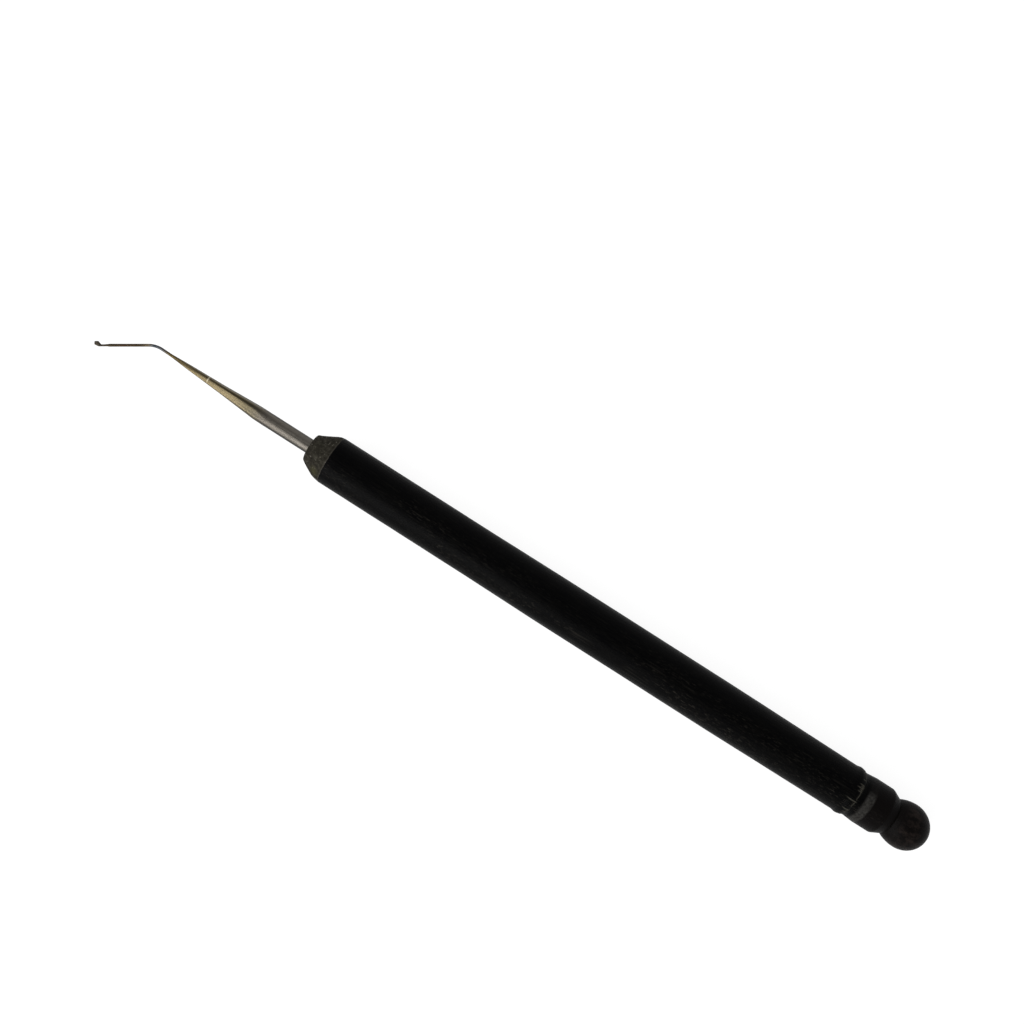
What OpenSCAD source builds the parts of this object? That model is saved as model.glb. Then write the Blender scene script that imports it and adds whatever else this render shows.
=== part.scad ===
// Bent crochet hook: a fine steel hook, bent near its tip, glued into a turned black wooden handle.
// The tool lies on its grip. +X runs along the grip's axis toward the hook, the hook bends toward +Y,
// and the origin is on the axis, at the middle of the grip's straight stretch.

/* [Grip] */
// Diameter of the grip's straight middle stretch
grip_d = 8; // [7:0.1:10]
// Length of that straight stretch
grip_straight = 30; // [20:1:40]
// Diameter where the grip meets the nose
grip_front_d = 7.8; // [7:0.1:10]
// Diameter where the grip meets the bead at its rear
grip_rear_d = 7.7; // [7:0.1:10]
// Distance from the grip's middle to the flat end of the nose
nose_reach = 58.7; // [50:0.1:70]
// Distance from the grip's middle to the bead
bead_reach = 38.6; // [32:0.1:50]

/* [Nose] */
// Diameter of the small flat at the front of the nose
nose_flat_d = 4.4; // [4:0.1:5]
// Length of the nose's cone
nose_len = 3.2; // [2.5:0.1:5]

/* [Finial] */
// Depth of the groove between the bead and the collar
groove_depth = 0.2; // [0.1:0.05:0.5]
// Length of the collar with its two slopes
collar_len = 6.2; // [5:0.1:8]
// Diameter of the neck between the collar and the ball
neck_d = 6.1; // [4:0.1:6.6]
// Diameter of the ball at the end
ball_d = 7.42; // [7.2:0.02:7.8]

/* [Hook] */
// Diameter of the round steel shank
shank_d = 2.35; // [2:0.05:2.6]
// Length of the shank between the nose and the taper
shank_free = 9.2; // [5:0.1:20]
// Length of the ground taper
taper_len = 16.2; // [14:0.1:18]
// Diameter of the thin rod that the taper ends in
rod_d = 0.45; // [0.4:0.01:0.6]
// Angle of the thin rod's bend, measured from the grip's axis
bend_angle = 32.5; // [10:0.5:60]
// Radius of the bend, at the middle of the rod
bend_r = 3.8; // [3:0.1:5]
// Length from the corner of the bend to the end of the head
tip_len = 9.4; // [7:0.1:12]

/* [Head] */
// Height of the head above the rod's centre line
head_top = 0.65; // [0.5:0.01:0.8]
// Width of the head
head_w = 0.56; // [0.5:0.01:0.7]
// Thickness of the rod in the throat behind the head
throat_d = 0.31; // [0.28:0.01:0.36]

/* [Seat] */
// Length of the tang inside the handle
tang_len = 28; // [15:1:40]
// Thickness of the glue between the tang and the wood
glue_gap = 0.1; // [0.05:0.01:0.15]

/* [Hidden] */
$fn = 96;

// Steps in each rounded corner of an outline
corner_steps = 6;
// Steps in each half of the ball's outline
ball_steps = 20;
// Extra length of a cutting solid past the solid that it cuts
cut_past = 1;

grip_r = grip_d / 2;
shank_r = shank_d / 2;
rod_r = rod_d / 2;
bore_r = shank_r + glue_gap;
bore_x = nose_reach - tang_len - glue_gap;

// Stations along the axis, from the nose to the ball
nose_cone_x = nose_reach - nose_len;
swell_front_x = nose_reach - 30;
swell_rear_x = 8 - bead_reach;
bead_x = -bead_reach;
groove_x = bead_x - 1.25;
collar_x = groove_x - 1.65;
neck_x = groove_x - collar_len;
ball_x = neck_x - 2.85;

// Radii at those stations
bead_r = grip_rear_d / 2 + 0.15;
collar_r = grip_rear_d / 2 - 0.03;
groove_r = grip_rear_d / 2 - groove_depth;
neck_r = neck_d / 2;
ball_r = ball_d / 2;
// The ball is drawn out a little toward the neck
ball_front = 1.24 * ball_r;
// Angle on the ball, from the axis, at which it leaves the neck
ball_start = 52;

// The taper starts here, and leans a little away from the bend, so that its upper edge stays straight
taper_x = nose_reach + shank_free;
taper_lean = 1.2;
turn = bend_angle + taper_lean;
corner_x = 19.15;
bend_tangent = bend_r * tan(turn / 2);

// Grinding leaves four flats on the taper, turned by this angle out of the bend plane
flat_turn = 15;
flat_start = -1.2;
flat_end = taper_len + 0.3;
// What the flats leave round the thin rod, and the length over which their corners fade into it
flat_spare = 0.01;
flat_fade = 1.6;

// The rod is a hair thicker round its bend, and the straight stretches lap into it
bend_swell = 0.006;
lap = 0.12;

// Stations of the tip, measured back from the end of the head
throat_back = -2.4;
throat_front = -1.02;
head_root = -1.3;

function unit(v) = v / norm(v);

// Arc of radius r that rounds the corner b between the lines to a and to c
function rounded(a, b, c, r) =
    let (
        ua = unit(a - b),
        uc = unit(c - b),
        half = acos(ua * uc) / 2,
        centre = b + unit(ua + uc) * r / sin(half),
        from = b + ua * r / tan(half) - centre,
        to = b + uc * r / tan(half) - centre,
        sweep = 180 - 2 * half
    )
    [for (i = [0:corner_steps])
        let (part = i / corner_steps)
        centre + (from * sin(sweep * (1 - part)) + to * sin(sweep * part)) / sin(sweep)];

// Open or closed outline through corners [x, y, radius], where a radius of 0 keeps the corner sharp
function outline(corners, closed = false) =
    let (n = len(corners), at = function (i) [corners[(i + n) % n].x, corners[(i + n) % n].y])
    [for (i = [0:n - 1])
        let (sharp = corners[i].z == 0 || (!closed && (i == 0 || i == n - 1)))
        for (p = sharp ? [at(i)] : rounded(at(i - 1), at(i), at(i + 1), corners[i].z)) p];

// Turns a solid that stands along +Z so that it points along +X
module along_x() {
    rotate([0, 90, 0]) children();
}

// The handle's turned outline as [distance along the axis, radius, corner radius]
grip_profile = [
    [nose_reach, 0, 0],
    [nose_reach, nose_flat_d / 2, 0.3],
    [nose_cone_x, grip_front_d / 2, 4],
    [swell_front_x, grip_front_d / 2, 60],
    [grip_straight / 2, grip_r, 0],
    [-grip_straight / 2, grip_r, 0],
    [swell_rear_x, grip_rear_d / 2 + 0.05, 60],
    [bead_x + 0.7, grip_rear_d / 2, 0.5],
    [bead_x, bead_r, 0.5],
    [bead_x - 0.6, grip_rear_d / 2 + 0.02, 0.4],
    [groove_x, groove_r, 0.4],
    [collar_x, collar_r, 1],
    [neck_x + 1.55, collar_r - 0.01, 0.6],
    [neck_x, neck_r, 0.5],
    [ball_x + ball_front * cos(ball_start), ball_r * sin(ball_start), 0]
];

function ball_point(angle) =
    [ball_x + (angle < 90 ? ball_front : ball_r) * cos(angle), ball_r * sin(angle)];

handle_outline = concat(
    outline(grip_profile),
    [for (i = [1:ball_steps]) ball_point(ball_start + (90 - ball_start) * i / ball_steps)],
    [for (i = [1:ball_steps]) ball_point(90 + 90 * i / ball_steps)]
);

// Turned in one piece from black wood: nose, grip, bead, groove, collar, neck and ball
module handle() {
    color("#171513")
        difference() {
            along_x()
                rotate_extrude()
                    polygon([for (p = handle_outline) [max(p.y, 0), p.x]]);
            translate([bore_x, 0, 0])
                along_x()
                    cylinder(h = tang_len + glue_gap + cut_past, r = bore_r);
        }
}

// Glue that fills the bore round the tang and behind its end
module glue_line() {
    color("#8a7a55")
        difference() {
            translate([bore_x, 0, 0])
                along_x()
                    cylinder(h = tang_len + glue_gap, r = bore_r);
            translate([bore_x + glue_gap, 0, 0])
                along_x()
                    cylinder(h = tang_len + cut_past, r = shank_r);
        }
}

// Waste that the grinding takes off one side of the taper, from the shank's surface down to the thin rod
module flat_cut(angle) {
    run = flat_end - flat_start;
    drop = shank_r - rod_r - flat_spare;
    rotate([-angle, 0, 0])
        translate([flat_start, 0, shank_r])
            rotate([0, atan(drop / run), 0])
                translate([-cut_past, -shank_d, 0])
                    cube([norm([run, drop]) + cut_past, 2 * shank_d, shank_d]);
}

// Tang, round shank and ground taper, as far as the thin rod
module shank() {
    difference() {
        intersection() {
            translate([bore_x + glue_gap, 0, 0])
                along_x()
                    cylinder(h = taper_x + taper_len - bore_x, r = shank_r);
            taper_cone();
        }
        on_taper()
            for (i = [0:3])
                flat_cut(flat_turn + 90 * i);
    }
}

// Moves a solid from the taper's own frame, with +X along the taper, to its place on the shank
module on_taper() {
    translate([taper_x, 0, 0])
        rotate([0, 0, -taper_lean])
            children();
}

// Round stock of the taper: a long cone that leaves the shank, and a short one down to the thin rod
module taper_cone() {
    back = tang_len + shank_free + 2;
    corner_r = rod_r + 0.09;
    slope = (shank_r - corner_r) / (taper_len - flat_fade);
    on_taper()
        along_x()
            rotate_extrude()
                polygon([
                    [0, -back],
                    [shank_r + slope * back, -back],
                    [corner_r, taper_len - flat_fade],
                    [rod_r + flat_spare, taper_len],
                    [0, taper_len]
                ]);
}

// Thin rod from the taper round the bend, with the tip at its end
module bent_rod() {
    straight_in = corner_x - bend_tangent;
    on_taper() {
        translate([taper_len - lap, 0, 0])
            along_x()
                cylinder(h = straight_in + lap - taper_len + lap, r = rod_r);
        translate([straight_in, bend_r, 0])
            rotate([0, 0, -90])
                rotate_extrude(angle = turn)
                    translate([bend_r, 0])
                        circle(r = rod_r + bend_swell);
        translate([corner_x, 0, 0])
            rotate([0, 0, turn])
                translate([tip_len, 0, 0])
                    tip();
    }
}

// Side view of the tip: thin rod, throat, barb and blunt head, with the barb on the outer side of the bend
module tip_side() {
    start = bend_tangent - lap - tip_len;
    polygon(outline([
        [start, rod_d, 0],
        [start, -rod_d, 0],
        [throat_back + 0.1, -rod_d, 0],
        [throat_back + 0.1, -rod_r, 0.1],
        [throat_front - 0.9, -throat_d / 2 - 0.02, 0.4],
        [-0.62, -throat_d / 2 - 0.02, 0.25],
        [-0.04, 0.1, 0.12],
        [0, head_top, 0.16],
        [-0.6, head_top, 0.16],
        [throat_front, throat_d / 2 - 0.02, 0.2],
        [throat_front - 0.5, throat_d / 2 - 0.02, 0.4],
        [throat_back, rod_r, 0.1],
        [throat_back, rod_d, 0]
    ], true));
}

// Front view of the head: as tall as the head, with rounded sides
module head_front() {
    low = -rod_r;
    round_r = 0.45 * head_w;
    polygon(outline([
        [low, -head_w / 2, round_r],
        [head_top, -head_w / 2, round_r],
        [head_top, head_w / 2, round_r],
        [low, head_w / 2, round_r]
    ], true));
}

// Plan view of the head: swells out of the rod and rounds off at the end
module head_plan() {
    root_w = 0.3;
    end_w = 0.4 * head_w;
    polygon(outline([
        [head_root, -root_w / 2, 0],
        [-0.75, -head_w / 2, 0.3],
        [-0.22, -head_w / 2, 0.2],
        [0, -end_w / 2, 0.08],
        [0, end_w / 2, 0.08],
        [-0.22, head_w / 2, 0.2],
        [-0.75, head_w / 2, 0.3],
        [head_root, root_w / 2, 0]
    ], true));
}

// The tip's last stretch, with its origin at the end of the head
module tip() {
    start = bend_tangent - lap - tip_len;
    rotate([180, 0, 0])
        intersection() {
            linear_extrude(height = 2, center = true)
                tip_side();
            union() {
                translate([start, 0, 0])
                    along_x()
                        cylinder(h = -start - 0.8, r = rod_r);
                intersection() {
                    translate([head_root, 0, 0])
                        rotate([90, 0, 90])
                            linear_extrude(height = -head_root)
                                head_front();
                    rotate([90, 0, 0])
                        linear_extrude(height = 4, center = true)
                            head_plan();
                }
            }
        }
}

// One piece of steel: tang, shank, ground taper, bent rod and hooked head
module hook() {
    color("#8d8468") {
        shank();
        bent_rod();
    }
}

handle();
hook();
glue_line();
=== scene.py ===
# %% [markdown]
# # Bent crochet hook
# A fine steel hook, bent near its tip, is glued into a turned handle of black wood. The construction
# model gives the frame: what the pieces are, where they lie and how big they are. This script dresses
# them: it makes each visible surface with its small irregularities, then gives it its finish.

# %% Load the frame
import bpy
import numpy as np
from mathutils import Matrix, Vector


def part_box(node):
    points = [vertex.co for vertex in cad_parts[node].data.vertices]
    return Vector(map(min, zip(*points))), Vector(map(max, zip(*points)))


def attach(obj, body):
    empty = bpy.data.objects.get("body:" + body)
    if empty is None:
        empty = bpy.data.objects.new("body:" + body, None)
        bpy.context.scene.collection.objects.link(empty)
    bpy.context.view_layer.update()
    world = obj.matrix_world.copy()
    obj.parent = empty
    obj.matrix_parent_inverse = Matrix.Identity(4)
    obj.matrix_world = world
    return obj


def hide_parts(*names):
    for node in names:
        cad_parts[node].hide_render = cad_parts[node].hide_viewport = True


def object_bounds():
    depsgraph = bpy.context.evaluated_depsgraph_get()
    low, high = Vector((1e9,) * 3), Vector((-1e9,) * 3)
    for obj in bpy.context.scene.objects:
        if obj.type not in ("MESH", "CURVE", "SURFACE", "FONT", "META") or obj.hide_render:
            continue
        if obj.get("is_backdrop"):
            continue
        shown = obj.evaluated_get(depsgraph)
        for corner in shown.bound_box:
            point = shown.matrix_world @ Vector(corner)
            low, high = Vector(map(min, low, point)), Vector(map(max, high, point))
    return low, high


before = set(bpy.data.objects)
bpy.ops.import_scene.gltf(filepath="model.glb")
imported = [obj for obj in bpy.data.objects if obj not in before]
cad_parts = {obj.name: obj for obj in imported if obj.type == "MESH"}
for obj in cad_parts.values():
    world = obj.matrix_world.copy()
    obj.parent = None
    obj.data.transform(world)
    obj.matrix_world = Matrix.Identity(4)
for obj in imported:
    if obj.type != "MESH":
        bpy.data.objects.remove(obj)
cad_low, cad_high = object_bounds()
print("nodes:", sorted(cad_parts))

# %% [markdown]
# ## Sizes
# Every shape below is in millimetres until it goes into a mesh. The axes are the frame's: X runs along
# the grip toward the hook, the hook bends toward +Y, and Z is up. The ends of the pieces come from the
# frame, so the surfaces made here start and stop where the construction model does.

# %% Sizes in millimetres
MM = 0.001
handle_low, handle_high = [np.array(corner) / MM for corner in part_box("handle")]
glue_low, glue_high = [np.array(corner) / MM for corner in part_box("glue_line")]
hook_low, _ = [np.array(corner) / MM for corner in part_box("hook")]

nose_x = handle_high[0]
tail_x = handle_low[0]
tang_x = hook_low[0]
bore_x = glue_low[0]
bore_r = glue_high[2]
grip_r = 4.0
shank_r = 1.175
rod_r = 0.225
# The grip is drawn this much thinner than its full radius, so that its waves stay inside it
skin_gap = 0.004
print(f"handle {tail_x:.2f} to {nose_x:.2f} mm, tang from {tang_x:.2f} mm, bore radius {bore_r:.3f} mm")

# %% [markdown]
# ## A mesh from rings
# Every piece here is round or nearly so, which makes it a stack of rings. It could be a cylinder with
# modifiers, but a ring needs only a centre and a radius that changes round it, so a whole piece is one
# array: ring, place on the ring, xyz. Any irregularity is then a sum of arrays.

# %% Rings to mesh
def ring_mesh(name, rings):
    """Closes a stack of rings into one skin. Neighbouring rings are joined by four-sided faces, and a
    fan of triangles to a middle point closes each end. Each ring turns from +Z toward +Y. Rings that
    run toward -X face away from the axis, and rings that run toward +X face the axis, as in a bore."""
    count, around, _ = rings.shape
    ends = [rings[0].mean(axis=0), rings[-1].mean(axis=0)]
    points = np.concatenate([rings.reshape(-1, 3), ends]) * MM
    here = np.arange(count * around).reshape(count, around)
    beside = np.roll(here, -1, axis=1)
    quads = np.stack([here[:-1], beside[:-1], beside[1:], here[1:]], axis=-1).reshape(-1, 4)
    first = np.stack([beside[0], here[0], np.full(around, count * around)], axis=-1)
    last = np.stack([here[-1], beside[-1], np.full(around, count * around + 1)], axis=-1)
    mesh = bpy.data.meshes.new(name)
    mesh.from_pydata(points.tolist(), [], quads.tolist() + first.tolist() + last.tolist())
    mesh.shade_smooth()
    piece = bpy.data.objects.new(name, mesh)
    bpy.context.scene.collection.objects.link(piece)
    print(f"{name}: {count} rings of {around}, {2 * (len(quads) + around)} triangles")
    return piece


def keep_values(piece, label, values):
    """Stores one value for each point of a ring mesh, and 0 for its two end points, under a label that
    its finish can read."""
    layer = piece.data.attributes.new(label, "FLOAT", "POINT")
    layer.data.foreach_set("value", np.concatenate([values.ravel(), [0, 0]]))


# %% [markdown]
# ## Irregularity
# Hand work is never quite regular. Random values on a coarse lattice, joined smoothly, give the slow
# waves of a hand-turned surface, and the same lattice drawn long and narrow gives wood grain. The
# random numbers have fixed seeds, so the tool comes out the same each time.

# %% Noise on a lattice
def lattice_noise(along, around, cells_around, seed):
    """Smooth random heights from -1 to 1. `along` counts lattice cells, `around` is a share of a turn,
    and the value is a blend of the four nearest random values, weighted by 3t^2 - 2t^3 on each side."""
    rows = 512
    table = np.random.default_rng(seed).uniform(-1, 1, (rows, cells_around))
    u, v = np.broadcast_arrays(along, around * cells_around)
    row, column = np.floor(u).astype(int), np.floor(v).astype(int)
    fu, fv = u - row, v - column
    fu, fv = fu * fu * (3 - 2 * fu), fv * fv * (3 - 2 * fv)
    next_row, next_column = (row + 1) % rows, (column + 1) % cells_around
    row, column = row % rows, column % cells_around
    near = table[row, column] * (1 - fu) + table[next_row, column] * fu
    far = table[row, next_column] * (1 - fu) + table[next_row, next_column] * fu
    return near * (1 - fv) + far * fv


def smooth_step(low, high, value):
    """0 below `low`, 1 above `high`, and 3t^2 - 2t^3 between them."""
    t = np.clip((value - low) / (high - low), 0, 1)
    return t * t * (3 - 2 * t)


# %% [markdown]
# ## Outlines
# A turner thinks in outlines: straight runs and the curves between them. An outline here is a short
# list of corners, each with the radius of its rounding. The points are then laid along it again, close
# together where the form is fine and far apart on the plain grip.

# %% Rounded and spaced outlines
def rounded_outline(corners, steps=8):
    """Turns corners [x, y, radius] into a line of points. A corner is cut where an arc of its radius
    would meet the two sides, and a parabola between these cuts rounds it."""
    corners = np.array(corners, dtype=float)
    line = [corners[0, :2]]
    for before, corner, after in zip(corners[:-2], corners[1:-1], corners[2:]):
        b = corner[:2]
        ua = (before[:2] - b) / np.linalg.norm(before[:2] - b)
        uc = (after[:2] - b) / np.linalg.norm(after[:2] - b)
        half = np.arccos(np.clip(ua @ uc, -1, 1)) / 2
        cut = corner[2] / np.tan(half)
        t = np.linspace(0, 1, steps)[:, None]
        line.extend(b + ua * cut * (1 - t) ** 2 + uc * cut * t ** 2)
    line.append(corners[-1, :2])
    return np.array(line)


def spaced(line, count, x_stations, weights):
    """Lays `count` points along a line. Their spacing follows the length of the line times a weight
    that is read from its x, so that a high weight gives close rings."""
    step = np.linalg.norm(np.diff(line, axis=0), axis=1)
    middle = (line[1:, 0] + line[:-1, 0]) / 2
    total = np.concatenate([[0], np.cumsum(step * np.interp(middle, x_stations, weights) + 1e-9)])
    wanted = np.linspace(0, total[-1], count)
    return np.stack([np.interp(wanted, total, line[:, 0]), np.interp(wanted, total, line[:, 1])], axis=-1)


# %% [markdown]
# ## The handle's outline
# The handle is turned from one stick: a sanded nose, a long grip that swells a little, a bead, a
# shallow groove with a collar, a neck and a ball. A turned form is fully told by its outline, so this
# is the list of its corners from the nose to the neck. The ball is two arcs, because it is drawn out a
# little toward the neck.

# %% Outline of the handle
nose_len = 3.2
cone_x = nose_x - nose_len
shoulder_x = -39.2
groove_x = -39.85
collar_x = -41.5
neck_x = -46.05
ball_x = -48.9
ball_r = 3.71
ball_front = 1.24 * ball_r
ball_rear = ball_x - tail_x - 0.01
ball_start = np.radians(52)

turned_part = rounded_outline([
    [nose_x, bore_r, 0],
    [nose_x, 2.2, 0.3],
    [cone_x, 3.9, 4],
    [nose_x - 30, 3.9, 30],
    [15, grip_r - skin_gap, 10],
    [-15, grip_r - skin_gap, 10],
    [-30.6, 3.9, 10],
    [-37.9, 3.85, 0.5],
    [-38.6, grip_r - skin_gap, 0.4],
    [shoulder_x, 3.86, 0.06],
    [shoulder_x - 0.15, 3.73, 0.06],
    [groove_x, 3.65, 0.3],
    [collar_x, 3.82, 0.7],
    [-44.5, 3.81, 0.5],
    [neck_x, 3.05, 0.4],
    [ball_x + ball_front * np.cos(ball_start), ball_r * np.sin(ball_start), 0],
])


def ball_arc(length, start, end, steps):
    """Points [x, radius] on an ellipse round the ball's centre: `length` along X, ball_r across."""
    angle = np.linspace(start, end, steps)[1:]
    return np.stack([ball_x + length * np.cos(angle), ball_r * np.sin(angle)], axis=-1)


profile = np.concatenate([
    turned_part,
    ball_arc(ball_front, ball_start, np.pi / 2, 40),
    ball_arc(ball_rear, np.pi / 2, np.pi, 60),
])
# The last point lies on the axis and is left out: the fan of triangles at the end closes the ball
profile = spaced(profile, 331, [-53, -37.5, -36, 49, 53, 59], [6, 6, 1, 1, 6, 6])[:-1]
print("outline:", len(profile), "points")

# %% [markdown]
# ## Small changes of the handle's radius
# Seen close, the turned stick isn't a perfect solid of revolution. Its girth wanders by a few
# hundredths of a millimetre, the nose was sanded by hand and is fuller on one side, open pores run
# along the grain, and the black finish ends in a slight ridge. Each is a small change of radius that
# depends on the place along the axis and round it.

# %% Girth, sanding, pores and ridge
around_handle = 280
turn = np.arange(around_handle) / around_handle
phi = 2 * np.pi * turn[None, :]
x = profile[:, 0][:, None] + 0 * phi
r = profile[:, 1][:, None] + 0 * phi

girth = 0.012 * lattice_noise(x / 14 + 20, turn, 3, 1) + 0.006 * lattice_noise(x / 3 + 40, turn, 9, 2)
fibres = 0.005 * lattice_noise(x / 5 + 40, turn, 140, 3)
on_cone = smooth_step(cone_x - 0.6, cone_x + 0.2, x)
strokes = 0.03 * lattice_noise(x / 1.1 + 40, turn, 8, 4)
scuffs = 0.012 * lattice_noise(x / 0.5 + 90, turn, 26, 5)
fuller = 0.11 * np.sin(np.pi * np.clip((x - cone_x) / nose_len, 0, 1)) * np.sin(phi)

pore_noise = lattice_noise(x / 3.2 + 60, turn, 130, 6) * lattice_noise(x / 9 + 60, turn, 12, 7)
on_grip = smooth_step(shoulder_x, shoulder_x + 3, x) * (1 - smooth_step(cone_x - 4, cone_x - 1, x))
pores = on_grip * smooth_step(0.34, 0.6, pore_noise)

stain_x = 54.95
stain_ridge = 0.02 * np.exp(-((x - stain_x + 0.12) / 0.1) ** 2)
print("pores cover", round(float(pores.mean()) * 100, 1), "% of the points")

# %% [markdown]
# ## Torn fibres at the shoulder
# Where the turner's tool cut across the grain, at the shoulder of the groove, fibres broke out and
# left pale slivers along the grip. The ones that face up are placed one by one, by their angle from
# +Z toward +Y and their length. The others are scattered at random over the rest of the shoulder. A
# broken pale line joins them along the shoulder's edge: partly bare wood and partly a painted
# highlight on the rounded rim. The edge itself is a little jagged.

# %% Torn fibres
placed = [(-29, 0.8), (-25, 0.5), (-21, 1.0), (-17, 0.5), (-13, 0.7), (12, 1.7), (39, 1.2), (50, 0.6)]
scattered = 34
angles = np.random.default_rng(8).uniform(70, 320, scattered)
lengths = np.random.default_rng(9).uniform(0.2, 1.1, scattered)
torn_and_rim_highlight = np.zeros_like(x)
for degrees, length in placed + list(zip(angles, lengths)):
    off = np.abs((np.degrees(phi) - degrees + 180) % 360 - 180)
    narrow = smooth_step(1.7, 0.3, off)
    ahead_of_edge = smooth_step(shoulder_x + length + 0.1, shoulder_x + 0.5 * length, x)
    torn_and_rim_highlight = np.maximum(torn_and_rim_highlight, narrow * ahead_of_edge * smooth_step(shoulder_x - 0.3, shoulder_x, x))

broken = 0.5 + 0.5 * lattice_noise(x * 0, turn, 34, 10)
line_x = shoulder_x + 0.03 - 0.05 * lattice_noise(x * 0, turn, 50, 11)
# Partly bare wood, partly a painted highlight on the shoulder's rounded rim
bare_and_highlight_line = np.exp(-((x - line_x) / 0.07) ** 2) * smooth_step(0.2, 0.6, broken)
torn_and_rim_highlight = np.clip(torn_and_rim_highlight + bare_and_highlight_line, 0, 1)
jagged = 0.05 * lattice_noise(x * 0, turn, 90, 12) * np.exp(-((x - shoulder_x + 0.05) / 0.25) ** 2)
print("torn fibres:", len(placed) + scattered)

# %% [markdown]
# ## The handle's skin
# The skin starts on the floor of the bore, runs up its wall, over the nose and along the outside to
# the ball, so one closed surface holds the whole piece of wood. The pores, and the torn fibres with the
# painted highlight line on the shoulder, are kept as values on its points, because the finish has to
# find them again.

# %% Handle mesh
away_from_bore = smooth_step(1.3, 2.4, r)
relief = girth + fibres + on_cone * (strokes + scuffs) + fuller + stain_ridge - 0.022 * pores + 0.015 * torn_and_rim_highlight
r_skin = np.minimum(r + away_from_bore * relief, grip_r - skin_gap / 2)
outside = np.stack([x + jagged, r_skin * np.sin(phi), r_skin * np.cos(phi)], axis=-1)

bore_floor = np.array([[bore_x, 0.4], [bore_x, 0.9], [bore_x, bore_r], [bore_x + 0.05, bore_r]])
bore_wall = np.stack([np.linspace(bore_x + 2, nose_x - 0.1, 12), np.full(12, bore_r)], axis=-1)
bore = np.concatenate([bore_floor, bore_wall])
bore_across = bore[:, 1][:, None]
inside = np.stack(
    [bore[:, 0][:, None] + 0 * phi, bore_across * np.sin(phi), bore_across * np.cos(phi)], axis=-1)

handle = ring_mesh("turned_handle", np.concatenate([inside, outside]))
blank = np.zeros(inside.shape[:2])
keep_values(handle, "pores", np.concatenate([blank, pores]))
keep_values(handle, "torn_and_rim_highlight", np.concatenate([blank, torn_and_rim_highlight]))
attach(handle, "root")
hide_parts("handle")

# %% [markdown]
# ## The path of the steel
# The hook is one rod: tang, shank, taper, thin rod, a bend and the tip. Its centre line is straight,
# then an arc, then straight again. Each place on it has a heading, and a cross-section stands square
# to that heading. The line is told by the length travelled from the start of the taper, so a place
# needs just one number, whether it lies before, on or after the bend.

# %% Path of the hook
shank_free = 9.2
taper_x = nose_x + shank_free
taper_lean = np.radians(1.2)
bend = np.radians(32.5) + taper_lean
bend_r = 3.8
corner_at = 19.15
tip_len = 9.4
tangent = bend_r * np.tan(bend / 2)
bend_at = corner_at - tangent
arc = bend_r * bend
tip_end = bend_at + arc + tip_len - tangent


def path(u):
    """Centre and heading at length u from the taper's start. Before the bend the line is straight, on
    it the heading grows by length over radius, and behind the taper's start it follows the shank."""
    angle = np.clip((u - bend_at) / bend_r, 0, bend)
    past = np.maximum(u - bend_at - arc, 0)
    ahead = np.clip(u, 0, bend_at)
    lx = ahead + bend_r * np.sin(angle) + past * np.cos(angle)
    ly = bend_r * (1 - np.cos(angle)) + past * np.sin(angle)
    heading = angle - np.where(u > 0, taper_lean, 0)
    px = taper_x + lx * np.cos(taper_lean) + ly * np.sin(taper_lean) + np.minimum(u, 0)
    py = -lx * np.sin(taper_lean) + ly * np.cos(taper_lean)
    return px, py, heading


print("end of the head:", [round(float(v), 2) for v in path(np.array(tip_end))[:2]])

# %% [markdown]
# ## Where the rings of the steel lie
# The head is under 1 mm high and the hidden tang is 28 mm of plain rod, so even spacing would waste
# rings. Here a density, in rings to the millimetre, is named at a few places, added up along the path,
# and the rings are laid at even steps of that sum.

# %% Stations along the hook
rings_of_hook = 680
hook_end = tang_x - taper_x
places = np.array([
    tip_end, tip_end - 0.2, tip_end - 1.4, tip_end - 2.6, bend_at + arc, bend_at - 0.5, 12.0, -0.5, -9.0,
    hook_end])
density = np.array([90, 90, 60, 30, 16, 22, 12, 8, 3, 2])
fine_steps = np.linspace(tip_end - 0.0005, hook_end, 20000)
grown = np.concatenate([[0], np.cumsum(np.interp(-fine_steps[1:], -places, density))])
u = np.interp(np.linspace(0, grown[-1], rings_of_hook), grown, fine_steps)[:, None]

around_hook = 128
share = np.arange(around_hook)[None, :] / around_hook
psi = 2 * np.pi * share
print("closest rings:", round(float(-np.diff(u[:, 0]).max()), 4), "mm apart")

# %% [markdown]
# ## Shank, taper and bend
# The shank is plain round stock. The taper was ground: four long flats run down it, turned a little
# out of the bend's plane, and round corners are left between them. In polar form, a round section has
# a constant radius, and a flat at distance h has the radius h / cos(angle off the flat's middle), so
# the section is simply the smaller of the two. A soft minimum, -s log(e^(-a/s) + e^(-b/s)), dulls the
# edges between them as polishing does. Faint ripples and one file nick finish it.

# %% Sections of shank, taper and thin rod
flat_turn = np.radians(15)
flat_start = -1.2
flat_end = 16.4
edge_soft = 0.02
# The soft minimum of two equal radii lies this much too low
soft_drop = 0.0139

stations = [6.9, 13.0, 15.0]
corner_r = np.interp(u, [0.6, *stations, 16.2], [shank_r, 0.775, 0.455, 0.31, rod_r + 0.004])
flat_h = np.interp(u, [flat_start, *stations, flat_end], [shank_r, 0.645, 0.385, 0.29, rod_r + 0.004])
off_flat = (psi - flat_turn + np.pi / 4) % (np.pi / 2) - np.pi / 4
flat_r = flat_h / np.cos(off_flat)
section = -edge_soft * np.logaddexp(-corner_r / edge_soft, -flat_r / edge_soft)
section = section + soft_drop * (flat_h < corner_r + edge_soft)
section = np.where(u < flat_start, shank_r - 0.002, np.minimum(section, corner_r))
section = np.where(u > flat_end, rod_r, section)

ground = smooth_step(-2, 1, u) * smooth_step(17, 12, u)
section = section + ground * (0.004 * lattice_noise(u * 4 + 40, share, 5, 21) - 0.004)
section = section + 0.003 * lattice_noise(u * 1.1 + 60, share, 3, 22) * smooth_step(16, 13, u) - 0.003

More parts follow.
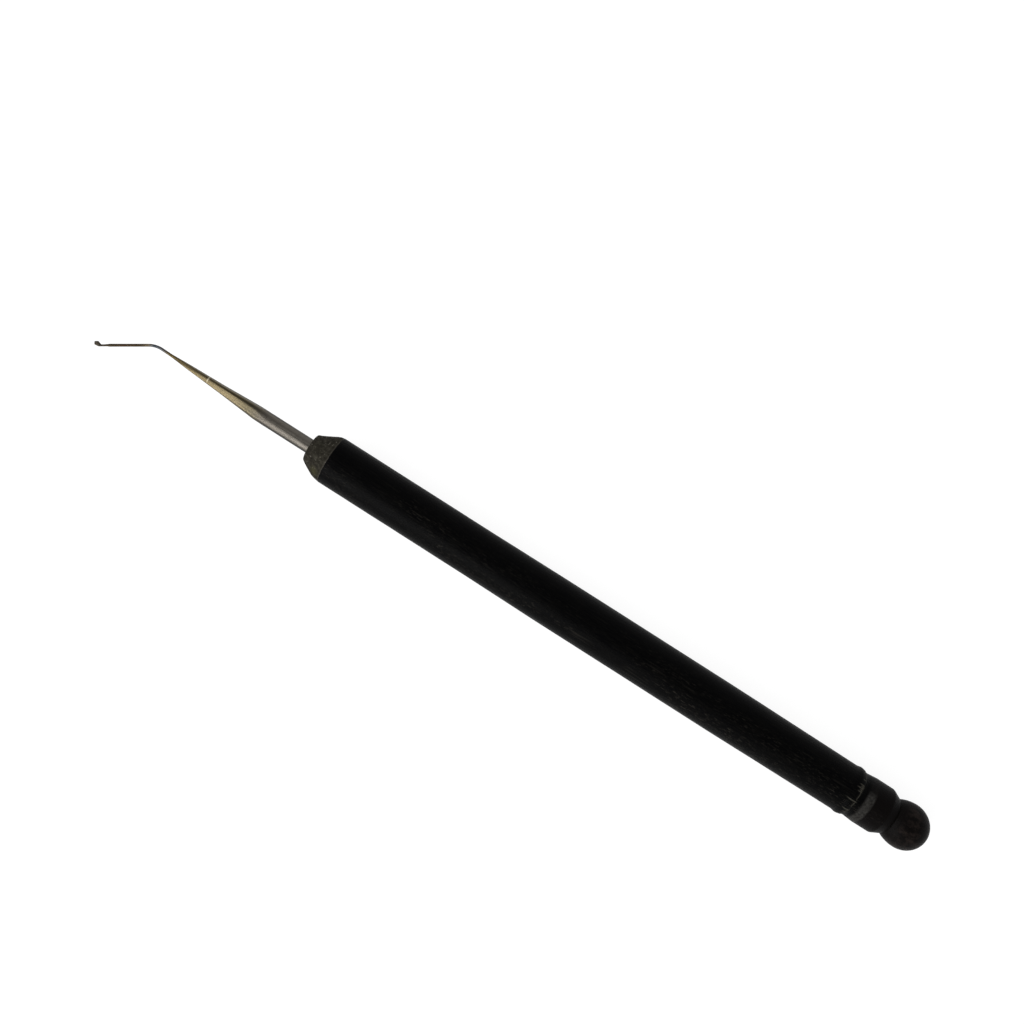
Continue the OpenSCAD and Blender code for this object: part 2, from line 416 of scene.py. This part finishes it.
nick_x = 77.4
nick_off = np.abs((psi + np.radians(25) + np.pi) % (2 * np.pi) - np.pi)
nick = np.exp(-((u - (nick_x - taper_x)) / 0.07) ** 2)
nick = nick * smooth_step(np.radians(75), np.radians(50), nick_off)
section = section - 0.035 * nick
middle_r = np.interp(8.1, u[::-1, 0], section[::-1].mean(axis=1))
print("taper radius at its middle:", round(float(middle_r), 3), "mm")

# %% [markdown]
# ## The hooked head
# Behind the blunt head the rod is filed thin: the throat, where the thread lies. The head then rises
# steeply to the barb on the outer side of the bend. Seen along Z this is two lines, the barb's and the
# back's, and a third line tells how the head swells across. Each section fills the space between the
# lines, and a superellipse, with a power above 2, squares its corners softly.

# %% Sections of throat and head
to_end = u - tip_end
barb_line = rounded_outline([
    [-3, 0.225, 0], [-2.4, 0.225, 0.1], [-1.52, 0.135, 0.4], [-1.02, 0.135, 0.15],
    [-0.6, 0.645, 0.12], [-0.02, 0.645, 0.16], [0, 0.42, 0]])
back_line = rounded_outline([
    [-3, -0.225, 0], [-2.3, -0.225, 0.1], [-1.92, -0.175, 0.3], [-0.62, -0.175, 0.25],
    [-0.05, 0.08, 0.05], [0, 0.2, 0]])
plan_line = rounded_outline([
    [-3, 0.222, 0], [-1.15, 0.222, 0.2], [-0.78, 0.275, 0.2], [-0.22, 0.275, 0.16],
    [-0.02, 0.15, 0.05], [0, 0.09, 0]])
barb_v = np.interp(to_end, *barb_line.T)
back_v = np.interp(to_end, *back_line.T)
half_w = np.interp(to_end, *plan_line.T)
power = 2 + 0.9 * smooth_step(-2.4, -0.9, to_end)
sine, cosine = np.sin(psi), np.cos(psi)
filed = 0.004 * lattice_noise(to_end * 9 + 90, share, 6, 23) * smooth_step(-2.6, -1.8, to_end)
rounded_sine = np.sign(sine) * np.abs(sine) ** (2 / power)
rounded_cosine = np.sign(cosine) * np.abs(cosine) ** (2 / power)
across = -(barb_v + back_v) / 2 + (barb_v - back_v) / 2 * rounded_sine + filed * sine
upward = half_w * rounded_cosine + filed * cosine
head_high = barb_v.max() - back_v.min()
print(f"head: {head_high:.2f} mm high, {2 * half_w.max():.2f} mm wide")

# %% [markdown]
# ## One skin for the steel
# Shank, taper, rod and head are one piece of steel, so they are one mesh: round sections up to the
# throat, then the head's own. Both stand square to the same path, and they agree where they meet.

# %% Hook mesh
on_tip = to_end > -2.9
sideways = np.where(on_tip, across, section * sine)
upward = np.where(on_tip, upward, section * cosine)
centre_x, centre_y, heading = path(u)
hook = ring_mesh("steel_hook", np.stack(
    [centre_x - sideways * np.sin(heading), centre_y + sideways * np.cos(heading), upward], axis=-1))
keep_values(hook, "nick", nick)
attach(hook, "root")
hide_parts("hook")

# %% [markdown]
# ## The glue
# A film of glue fills the bore round the tang. Only its end shows, as a hair-thin ring at the nose,
# where it shrank back a little as it set. It is a closed sleeve with a floor behind the tang's end.

# %% Glue mesh
glue_share = np.arange(96) / 96
glue_turn = 2 * np.pi * glue_share
glue_line = np.array([
    [tang_x, 0.3],
    [tang_x, shank_r - 0.05],
    [tang_x + 0.05, shank_r + 0.003],
    [nose_x - 0.5, shank_r + 0.003],
    [nose_x, shank_r + 0.004],
    [nose_x, (bore_r + shank_r) / 2],
    [nose_x, bore_r - 0.006],
    [nose_x - 0.5, bore_r - 0.003],
    [bore_x + 0.05, bore_r - 0.003],
    [bore_x, bore_r - 0.05],
    [bore_x, 0.3],
])
sunk = 0.03 + 0.012 * lattice_noise(np.zeros(1), glue_share, 11, 31)
glue_x = glue_line[:, :1] - np.where(glue_line[:, :1] > nose_x - 0.01, sunk[None, :], 0)
glue_r = glue_line[:, 1:] + 0 * glue_x
glue = ring_mesh("glue_film", np.stack(
    [glue_x, glue_r * np.sin(glue_turn), glue_r * np.cos(glue_turn)], axis=-1))
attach(glue, "root")
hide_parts("glue_line")

# %% [markdown]
# ## Building finishes from nodes
# A finish is a small graph of nodes. Writing each node out takes many lines, so one function adds a
# node, sets its properties, and fills its inputs with values or with other nodes. Colours are written
# as hex values, the way a picture program shows them, and one function turns them to linear light. A
# shader counts in metres, so places on the wood are written in metres. Along the steel a node turns X
# to millimetres first. Inputs 1 and 2 of a Map Range are the range it reads, 3 and 4 the one it gives.

# %% Helpers for materials
def colour(code):
    """sRGB hex to linear: each channel c becomes c / 12.92 when dark, else ((c + 0.055) / 1.055)^2.4."""
    channels = np.array([int(code[i:i + 2], 16) for i in (1, 3, 5)]) / 255
    linear = np.where(channels <= 0.04045, channels / 12.92, ((channels + 0.055) / 1.055) ** 2.4)
    return (*linear.tolist(), 1.0)


def add(tree, kind, inputs=None, stops=(), **settings):
    """Adds a node with its settings. An input is named or numbered, and takes a value, a socket, or a
    node, whose first output in use is then linked. `stops` are a colour ramp's places, each with a hex
    colour or a grey value."""
    node = tree.nodes.new("ShaderNode" + kind)
    for name, value in settings.items():
        setattr(node, name, value)
    for key, value in (inputs or {}).items():
        named = [s for s in node.inputs if s.enabled and s.name == key]
        socket = node.inputs[key] if isinstance(key, int) else named[0]
        if isinstance(value, bpy.types.Node):
            value = [s for s in value.outputs if s.enabled][0]
        if isinstance(value, bpy.types.NodeSocket):
            tree.links.new(value, socket)
        else:
            socket.default_value = value
    for index, (place, shade) in enumerate(stops):
        points = node.color_ramp.elements
        point = points[index] if index < 2 else points.new(place)
        point.position = place
        point.color = colour(shade) if isinstance(shade, str) else (shade, shade, shade, 1)
    return node


def new_finish(name):
    """A material with an empty graph, and the object coordinates that its patterns read."""
    material = bpy.data.materials.new(name)
    material.use_nodes = True
    tree = material.node_tree
    tree.nodes.clear()
    return material, tree, add(tree, "TexCoord").outputs["Object"]


def grains(length, width):
    """Scale of a pattern whose grains are `length` mm along X and `width` mm across."""
    return (1 / (length * MM), 1 / (width * MM), 1 / (width * MM))


# %% [markdown]
# ## Black wood: the stained ground
# The handle is a pale, close-grained hardwood stained black and rubbed with a little oil. Stained wood
# gives the eye a nearly black ground with a dull, soft sheen. Dust sits in the open pores and shows as
# short grey flecks along the grain. The flecks are made much stronger toward +Y, the side that faces
# the light, so they also carry a painted sheen. The grain is a solid pattern in object coordinates, 8
# to 16 times longer along X than across, so it runs through every curve as in real wood. Real pores
# are 0.05 to 0.1 mm wide. They are drawn up to 0.16 mm wide here, because a finer one is less than a
# pixel of the picture.

# %% Stained ground
wood, tree, place = new_finish("ebonised_hardwood")
axes = add(tree, "SeparateXYZ", {"Vector": place})
x_of = axes.outputs["X"]
y_of = axes.outputs["Y"]

grain_place = add(tree, "Mapping", {"Vector": place, "Scale": grains(2.6, 0.16)})
grain = add(tree, "TexNoise", {"Vector": grain_place, "Scale": 1.0, "Detail": 3.0, "Roughness": 0.6})
stain = add(tree, "ValToRGB", {"Fac": grain}, stops=[(0.3, "#010102"), (0.55, "#030303"), (0.75, "#080706")])

fleck_place = add(tree, "Mapping", {"Vector": place, "Scale": grains(0.9, 0.11), "Location": (9, 9, 9)})
flecks = add(tree, "TexNoise", {"Vector": fleck_place, "Scale": 1.0, "Detail": 1.0})
fleck = add(tree, "ValToRGB", {"Fac": flecks}, stops=[(0.60, 0.0), (0.72, 1.0)])
cloud_place = add(tree, "Mapping", {"Vector": place, "Scale": grains(14, 2.2), "Location": (5, 5, 5)})
clouds = add(tree, "TexNoise", {"Vector": cloud_place, "Scale": 1.0, "Detail": 2.0})
cloud = add(tree, "ValToRGB", {"Fac": clouds}, stops=[(0.42, 0.15), (0.62, 1.0)])
dust_and_sheen = add(tree, "Math", {0: fleck, 1: cloud}, operation="MULTIPLY")

pore_mark = add(tree, "Attribute", attribute_name="pores").outputs["Fac"]
pore_dust = add(tree, "Math", {0: pore_mark, 1: 0.35}, operation="MULTIPLY")
dust_and_sheen = add(tree, "Math", {0: dust_and_sheen, 1: pore_dust}, operation="MAXIMUM")
# Painted sheen: the flecks are made much stronger toward +Y, the side that faces the light
sheen_side = add(tree, "MapRange", {"Value": y_of, 1: -0.0022, 2: 0.0022, 3: 0.12, 4: 1.0})
dust_and_sheen = add(tree, "Math", {0: dust_and_sheen, 1: sheen_side}, operation="MULTIPLY")
dust_and_sheen = add(tree, "Math", {0: dust_and_sheen, 1: 0.6}, operation="MULTIPLY")
# Dust flecks in the pores, with their painted sheen toward +Y
black = add(tree, "Mix", {"Factor": dust_and_sheen, "A": stain, "B": colour("#322f2a")}, data_type="RGBA")

# %% [markdown]
# ## Black wood: collar, ball and torn shoulder
# Past the groove the stain is thinner, so collar and ball are a little browner, and the ball is worn
# in patches where it rests in the palm. The groove's rear slope was scraped, so it is greyer and rough.
# Its grey band is also a painted highlight where the slope catches the light, and it fades toward -Y as
# painted shade. The torn fibres show bare, dusty wood, and the pale line on the shoulder's edge is
# partly a painted highlight on its rounded rim.

# %% Collar, ball and torn shoulder
behind_groove = add(tree, "MapRange", {"Value": x_of, 1: -0.0400, 2: -0.0412})
browner = add(tree, "Math", {0: behind_groove, 1: 0.5}, operation="MULTIPLY")
black = add(tree, "Mix", {"Factor": browner, "A": black, "B": colour("#0e0b0a")}, data_type="RGBA")

worn_place = add(tree, "Mapping", {"Vector": place, "Scale": grains(1.6, 1.1), "Location": (11, 11, 11)})
wear = add(tree, "TexNoise", {"Vector": worn_place, "Scale": 1.0, "Detail": 4.0, "Roughness": 0.7})
worn = add(tree, "ValToRGB", {"Fac": wear}, stops=[(0.45, 0.0), (0.66, 0.45)])
on_ball = add(tree, "MapRange", {"Value": x_of, 1: -0.0468, 2: -0.0476})
worn = add(tree, "Math", {0: worn, 1: on_ball}, operation="MULTIPLY")
black = add(tree, "Mix", {"Factor": worn, "A": black, "B": colour("#2b2421")}, data_type="RGBA")

rough_place = add(tree, "Mapping", {"Vector": place, "Scale": grains(0.35, 0.3), "Location": (2, 2, 2)})
rough = add(tree, "TexNoise", {"Vector": rough_place, "Scale": 1.0, "Detail": 3.0})
scraped_and_lit = add(tree, "ValToRGB", {"Fac": rough}, stops=[(0.3, 0.25), (0.6, 1.0)])
# Scraped wood and painted highlight: the band is lighter where the slope catches the light, fading toward -Y
# as painted shade
slope_start = add(tree, "MapRange", {"Value": x_of, 1: -0.0402, 2: -0.0406})
slope_end = add(tree, "MapRange", {"Value": x_of, 1: -0.0418, 2: -0.0415})
slope_lit_side = add(tree, "MapRange", {"Value": y_of, 1: -0.0019, 2: -0.0011, 3: 0.1, 4: 1.0})
for part in (slope_start, slope_end, slope_lit_side):
    scraped_and_lit = add(tree, "Math", {0: scraped_and_lit, 1: part}, operation="MULTIPLY")
black = add(tree, "Mix", {"Factor": scraped_and_lit, "A": black, "B": colour("#2b2a28")}, data_type="RGBA")

# Torn fibres, and a pale line on the shoulder's edge that is partly painted highlight
torn_and_highlight_mark = add(tree, "Attribute", attribute_name="torn_and_rim_highlight").outputs["Fac"]
black = add(tree, "Mix", {"Factor": torn_and_highlight_mark, "A": black, "B": colour("#393731")}, data_type="RGBA")

# %% [markdown]
# ## Black wood: the sanded nose
# On the nose the stain was sanded away. The wood is matte grey-brown there, mottled at about half a
# millimetre, with a few pale specks of broken fibre and one yellowish patch low on its side.

# %% Sanded nose
mottle_place = add(tree, "Mapping", {"Vector": place, "Scale": grains(0.7, 0.5), "Location": (3, 3, 3)})
mottle = add(tree, "TexNoise", {"Vector": mottle_place, "Scale": 1.0, "Detail": 4.0, "Roughness": 0.65})
bare = add(tree, "ValToRGB", {"Fac": mottle}, stops=[
    (0.25, "#12110d"), (0.45, "#1f1d18"), (0.6, "#2b2923"), (0.78, "#3d3b34")])

speck_place = add(tree, "Mapping", {"Vector": place, "Scale": grains(0.28, 0.24), "Location": (7, 7, 7)})
speck_noise = add(tree, "TexNoise", {"Vector": speck_place, "Scale": 1.0, "Detail": 0.0})
specks = add(tree, "ValToRGB", {"Fac": speck_noise}, stops=[(0.74, 0.0), (0.82, 1.0)])
specks = add(tree, "Math", {0: specks, 1: 0.8}, operation="MULTIPLY")
bare = add(tree, "Mix", {"Factor": specks, "A": bare, "B": colour("#5c5951")}, data_type="RGBA")

patch_at = (0.0562, 0.0030, 0.0026)
to_patch = add(tree, "VectorMath", {0: place, 1: patch_at}, operation="DISTANCE").outputs["Value"]
patch = add(tree, "MapRange", {"Value": to_patch, 1: 0.0012, 2: 0.0002})
patch = add(tree, "Math", {0: patch, 1: 0.6}, operation="MULTIPLY")
bare = add(tree, "Mix", {"Factor": patch, "A": bare, "B": colour("#3b3923")}, data_type="RGBA")

# %% [markdown]
# ## Black wood: the edge of the stain, and the sheen
# Black and bare wood meet in a sharp line that wavers by a tenth of a millimetre. A thin pale edge on
# the bare side is a painted highlight, where the rim at the end of the stain would catch the light, and
# a thin dark one on the black side is painted shade in the step. The dull oil finish reflects little,
# and least of all on the sanded wood.

# %% Edge and sheen
waver = 0.00022
edge_place = add(tree, "Mapping", {"Vector": place, "Scale": grains(0.8, 0.6), "Location": (4, 4, 4)})
edge_noise = add(tree, "TexNoise", {"Vector": edge_place, "Scale": 1.0, "Detail": 2.0})
edge_x = add(tree, "Math", {0: edge_noise, 1: waver, 2: -waver / 2}, operation="MULTIPLY_ADD")
from_edge = add(tree, "Math", {0: x_of, 1: stain_x * MM}, operation="SUBTRACT")
from_edge = add(tree, "Math", {0: from_edge, 1: edge_x}, operation="ADD")

# Painted highlight: a thin pale line on the bare side of the stain's edge
rim_highlight = add(tree, "MapRange", {"Value": from_edge, 1: 0.00020, 2: 0.00004})
rim_highlight = add(tree, "Math", {0: rim_highlight, 1: 0.45}, operation="MULTIPLY")
bare = add(tree, "Mix", {"Factor": rim_highlight, "A": bare, "B": colour("#45423c")}, data_type="RGBA")
# Painted shade: a thin dark line on the black side of the stain's edge
step_shade = add(tree, "MapRange", {"Value": from_edge, 1: -0.00035, 2: -0.00015})
black = add(tree, "Mix", {"Factor": step_shade, "A": black, "B": colour("#030303")}, data_type="RGBA")
on_nose = add(tree, "MapRange", {"Value": from_edge, 1: -0.00003, 2: 0.00003})
skin = add(tree, "Mix", {"Factor": on_nose, "A": black, "B": bare}, data_type="RGBA")

grain_height = add(tree, "Math", {0: grain, 1: 0.6}, operation="MULTIPLY")
fleck_height = add(tree, "Math", {0: flecks, 1: 0.5}, operation="MULTIPLY")
bumps = add(tree, "Math", {0: grain_height, 1: fleck_height}, operation="ADD")
bumps = add(tree, "Mix", {"Factor": on_nose, "A": bumps, "B": mottle}, data_type="FLOAT")
texture = add(tree, "Bump", {"Height": bumps, "Strength": 0.55, "Distance": 0.00006})
oiled = add(tree, "ValToRGB", {"Fac": grain}, stops=[(0.3, 0.36), (0.7, 0.50)])
matte = add(tree, "Math", {0: on_nose, 1: torn_and_highlight_mark}, operation="MAXIMUM")
roughness = add(tree, "Mix", {"Factor": matte, "A": oiled, "B": 0.72}, data_type="FLOAT")
shader = add(tree, "BsdfPrincipled", {
    "Base Color": skin, "Roughness": roughness, "Normal": texture, "IOR": 1.45, "Specular IOR Level": 0.03})
add(tree, "OutputMaterial", {"Surface": shader})
handle.data.materials.append(wood)
print("black wood:", len(tree.nodes), "nodes")

# %% [markdown]
# ## Tempered steel: the colours of heat
# The hook is carbon steel that was ground bright, then heated. Heat leaves a thin oxide film whose
# colour tells the temperature: the shank stayed grey, the taper is straw yellow, the bend blue, and
# the thin rod a bronze brown. The metal under the film stays metal, so the finish is fully metallic
# with a base colour that changes along the rod, and the boundaries wander by about a millimetre.

# %% Colours along the rod
steel, tree, place = new_finish("tempered_steel")
axes = add(tree, "SeparateXYZ", {"Vector": place})
ramp_start, ramp_end = 58.0, 96.0
wander_mm = 2.4


def at(x_position):
    """Place of an X in millimetres on the ramp."""
    return (x_position - ramp_start) / (ramp_end - ramp_start)


x_mm = add(tree, "Math", {0: axes.outputs["X"], 1: MM}, operation="DIVIDE")
wander_place = add(tree, "Mapping", {"Vector": place, "Scale": grains(2.5, 0.8)})
wander = add(tree, "TexNoise", {"Vector": wander_place, "Scale": 1.0, "Detail": 3.0, "Roughness": 0.6})
wander = add(tree, "Math", {0: wander, 1: wander_mm, 2: -wander_mm / 2}, operation="MULTIPLY_ADD")
along = add(tree, "Math", {0: x_mm, 1: wander}, operation="ADD")
along = add(tree, "Math", {0: along, 1: ramp_start}, operation="SUBTRACT")
along = add(tree, "Math", {0: along, 1: ramp_end - ramp_start}, operation="DIVIDE")
film = add(tree, "ValToRGB", {"Fac": along}, stops=[
    (at(58.5), "#66625c"), (at(95.5), "#4c453a"),
    (at(67.0), "#645f58"), (at(69.8), "#6b634f"), (at(72.5), "#766b53"), (at(81.0), "#72664b"),
    (at(84.2), "#6b5c3a"), (at(85.6), "#5d5c5e"), (at(87.2), "#545b62"), (at(88.0), "#70634e"),
    (at(89.0), "#4c4130"), (at(91.0), "#4b392a"), (at(93.0), "#453d2d"), (at(94.4), "#4c463d")])

# %% [markdown]
# ## Tempered steel: streaks and painted reflections along it
# Grinding and handling left fine dark streaks along the rod. A line keeps its angle round the axis, so
# these patterns read that angle, as a share of a turn that is 0.5 at the top and 0.75 toward +Y. Fine
# streaks lie all over. The darker bands at set angles, on the taper's flats and along the shank, are
# painted reflection: they darken the steel where it would mirror a darker surrounding, such as a dark
# lower edge and thin dark lines along the top.

# %% Lines along the rod
angle = add(tree, "Math", {0: axes.outputs["Y"], 1: axes.outputs["Z"]}, operation="ARCTAN2")
streak_length = 9 * MM
streaks_per_radian = 3.2
streak_x = add(tree, "Math", {0: axes.outputs["X"], 1: streak_length}, operation="DIVIDE")
streak_y = add(tree, "Math", {0: angle, 1: streaks_per_radian}, operation="MULTIPLY")
streak_place = add(tree, "CombineXYZ", {"X": streak_x, "Y": streak_y})
streaks = add(tree, "TexNoise", {"Vector": streak_place, "Scale": 1.0, "Detail": 4.0, "Roughness": 0.6})
streak = add(tree, "ValToRGB", {"Fac": streaks}, stops=[(0.35, 0.45), (0.5, 0.85), (0.65, 1.15)])

half_turn_on = add(tree, "Math", {0: angle, 1: np.pi}, operation="ADD")
turned = add(tree, "Math", {0: half_turn_on, 1: 2 * np.pi}, operation="DIVIDE")
# Painted reflection: dark bands at set angles round the taper
flat_reflection_bands = add(tree, "ValToRGB", {"Fac": turned}, stops=[
    (0.02, 0.75), (0.98, 0.75), (0.22, 0.35), (0.27, 0.65), (0.37, 0.6), (0.40, 0.2), (0.43, 0.25),
    (0.46, 0.8), (0.50, 1.0)])
on_taper = add(tree, "MapRange", {"Value": x_mm, 1: 66.0, 2: 69.5, 3: 0.15, 4: 0.9})
# Painted reflection: dark bands at set angles round the shank, with a dark lower edge toward +Y
shank_reflection_bands = add(tree, "ValToRGB", {"Fac": turned}, stops=[
    (0.02, 0.7), (0.98, 0.7), (0.24, 0.5), (0.32, 0.45), (0.36, 1.0), (0.485, 1.0), (0.5, 0.55),
    (0.515, 1.0), (0.61, 1.0), (0.66, 0.25), (0.76, 0.25), (0.82, 0.7)])
on_shank = add(tree, "MapRange", {"Value": x_mm, 1: 68.5, 2: 66.0, 3: 0.35, 4: 1.0})
for amount, pattern in ((0.55, streak), (on_taper, flat_reflection_bands), (on_shank, shank_reflection_bands)):
    inputs = {"Factor": amount, "A": film, "B": pattern}
    film = add(tree, "Mix", inputs, data_type="RGBA", blend_type="MULTIPLY")

# %% [markdown]
# ## Tempered steel: nick, soot and grinding marks
# The file nick is bright, because it cut through the film. Specks of soot dull the surface here and
# there. Real grinding marks across the rod are about 0.02 mm apart. They are drawn coarser, at 0.05 mm,
# so that a close view shows them, and they also break up the gloss.

# %% Nick, soot and gloss
nick_mark = add(tree, "Attribute", attribute_name="nick").outputs["Fac"]
nick_bright = add(tree, "Math", {0: nick_mark, 1: 0.55}, operation="MULTIPLY")
film = add(tree, "Mix", {"Factor": nick_bright, "A": film, "B": colour("#d8d0b8")}, data_type="RGBA")
soot_place = add(tree, "Mapping", {"Vector": place, "Scale": grains(0.5, 0.25), "Location": (6, 6, 6)})
soot = add(tree, "TexNoise", {"Vector": soot_place, "Scale": 1.0, "Detail": 2.0})
sooty = add(tree, "ValToRGB", {"Fac": soot}, stops=[(0.55, 0.0), (0.75, 0.5)])
film = add(tree, "Mix", {"Factor": sooty, "A": film, "B": colour("#35302a")}, data_type="RGBA")

mark_place = add(tree, "Mapping", {"Vector": place, "Scale": grains(0.05, 0.5)})
marks = add(tree, "TexNoise", {"Vector": mark_place, "Scale": 1.0, "Detail": 2.0, "Roughness": 0.7})
texture = add(tree, "Bump", {"Height": marks, "Strength": 0.16, "Distance": 0.00003})
gloss = add(tree, "ValToRGB", {"Fac": marks}, stops=[(0.3, 0.40), (0.7, 0.50)])
shader = add(tree, "BsdfPrincipled", {
    "Base Color": film, "Metallic": 1.0, "Roughness": gloss, "Normal": texture})
add(tree, "OutputMaterial", {"Surface": shader})
hook.data.materials.append(steel)
print("tempered steel:", len(tree.nodes), "nodes")

# %% [markdown]
# ## Set glue
# Hide or resin glue dries to a brown amber with a dull skin, and dust darkens it in patches.

# %% Set glue
resin, tree, place = new_finish("set_amber_glue")
dirt_place = add(tree, "Mapping", {"Vector": place, "Scale": grains(0.2, 0.15)})
dirt = add(tree, "TexNoise", {"Vector": dirt_place, "Scale": 1.0, "Detail": 3.0})
amber = add(tree, "ValToRGB", {"Fac": dirt}, stops=[(0.35, "#1c1712"), (0.65, "#3d3122")])
texture = add(tree, "Bump", {"Height": dirt, "Strength": 0.4, "Distance": 0.00003})
shader = add(tree, "BsdfPrincipled", {"Base Color": amber, "Roughness": 0.45, "Normal": texture})
add(tree, "OutputMaterial", {"Surface": shader})
glue.data.materials.append(resin)
print("glue:", len(tree.nodes), "nodes")

# %% [markdown]
# ## Floor
# The tool lies on white paper. Paper is only about 80% white, so a plain floor would come out grey.
# For the camera and for reflections the floor is therefore mostly its own white, and a little of what
# falls on it, which keeps the tool's soft shadow. Every other ray sees plain paper, so the floor
# lights the tool no more than paper would.

# %% Floor
floor_z = cad_low.z - 0.00002
reach = 4.0
floor_mesh = bpy.data.meshes.new("paper_floor")
floor_corners = [
    (-reach, -reach, floor_z), (reach, -reach, floor_z), (reach, reach, floor_z), (-reach, reach, floor_z)]
floor_mesh.from_pydata(floor_corners, [], [(0, 1, 2, 3)])
floor = bpy.data.objects.new("paper_floor", floor_mesh)
bpy.context.scene.collection.objects.link(floor)
floor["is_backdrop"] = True

paper, tree, _ = new_finish("white_paper")
ray = add(tree, "LightPath").outputs
seen = add(tree, "Math", {0: ray["Is Camera Ray"], 1: ray["Is Glossy Ray"]}, operation="MAXIMUM")
seen = add(tree, "Math", {0: seen, 1: ray["Is Transmission Ray"]}, operation="MAXIMUM")
plain = add(tree, "BsdfDiffuse", {"Color": colour("#e8e8e8")})
lit = add(tree, "BsdfDiffuse", {"Color": (0.15, 0.15, 0.15, 1)})
glow = add(tree, "Emission", {"Color": (1, 1, 1, 1), "Strength": 0.9})
bright = add(tree, "AddShader", {0: lit, 1: glow})
shader = add(tree, "MixShader", {"Fac": seen, 1: plain, 2: bright})
add(tree, "OutputMaterial", {"Surface": shader})
floor_mesh.materials.append(paper)
print("floor:", 2 * reach, "m wide")

# %% [markdown]
# ## Light
# The tool seems lit by a large soft source at the picture's left, under a darker ceiling. A black, half
# dull surface shows mostly what it reflects, so the ceiling matters: the world is pale all round the
# horizon and falls to a dark grey overhead. Two soft boxes stand at the left, one across the grip, one
# toward the hook. A level half-grey surface comes out about a fifth brighter than it is written.

# %% World and lamps
world = bpy.data.worlds.new("studio")
bpy.context.scene.world = world
world.use_nodes = True
tree = world.node_tree
tree.nodes.clear()
direction = add(tree, "TexCoord").outputs["Generated"]
height = add(tree, "SeparateXYZ", {"Vector": direction}).outputs["Z"]
sky = add(tree, "ValToRGB", {"Fac": height}, stops=[(0.38, 1.0), (0.95, 0.28)])
background = add(tree, "Background", {"Color": sky, "Strength": 0.95})
add(tree, "OutputWorld", {"Surface": background})


def soft_box(name, azimuth, elevation, power, distance=0.9, size=0.5):
    """A square area lamp aimed at the origin. Azimuth is measured from +X toward +Y, in degrees."""
    data = bpy.data.lights.new(name, "AREA")
    data.energy = power
    data.size = size
    lamp = bpy.data.objects.new(name, data)
    side, rise = np.radians(azimuth), np.radians(elevation)
    level = distance * np.cos(rise)
    lamp.location = (level * np.cos(side), level * np.sin(side), distance * np.sin(rise))
    lamp.rotation_euler = (0, np.pi / 2 - rise, side)
    bpy.context.scene.collection.objects.link(lamp)
    print(f"{name}: {power} W at {distance} m")


soft_box("box_across", azimuth=72, elevation=34, power=5.0)
soft_box("box_hook_side", azimuth=14, elevation=45, power=4.0)

# %% [markdown]
# ## Camera
# The photograph looks straight down on the tool from about 180 mm: the rings on the handle are seen
# a little from inside, more so toward the ends. The tool's axis crosses the picture from upper left to
# lower right, so the camera is turned about its own line of sight.

# %% Camera
picture_right = (-0.8432, -0.5376)
camera_data = bpy.data.cameras.new("camera")
camera_data.lens = 41.4
camera_data.sensor_width = 36
camera_data.clip_start = 0.01
camera = bpy.data.objects.new("camera", camera_data)
camera.location = (0.02746, -0.008157, 0.180)
camera.rotation_euler = (0, 0, np.arctan2(picture_right[1], picture_right[0]))
bpy.context.scene.collection.objects.link(camera)
bpy.context.scene.camera = camera
bpy.context.scene.view_settings.view_transform = "Standard"
print("camera:", camera_data.lens, "mm lens")

# %% [markdown]
# ## Sizes against the construction model
# The dressed model has to fit the construction model's box, so the amounts by which it passes that box are
# printed.

# %% Sizes
low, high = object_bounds()
below = [round((a - b) / MM, 4) for a, b in zip(cad_low, low)]
above = [round((b - a) / MM, 4) for a, b in zip(cad_high, high)]
print("past the construction model's box, in mm:", below, above)
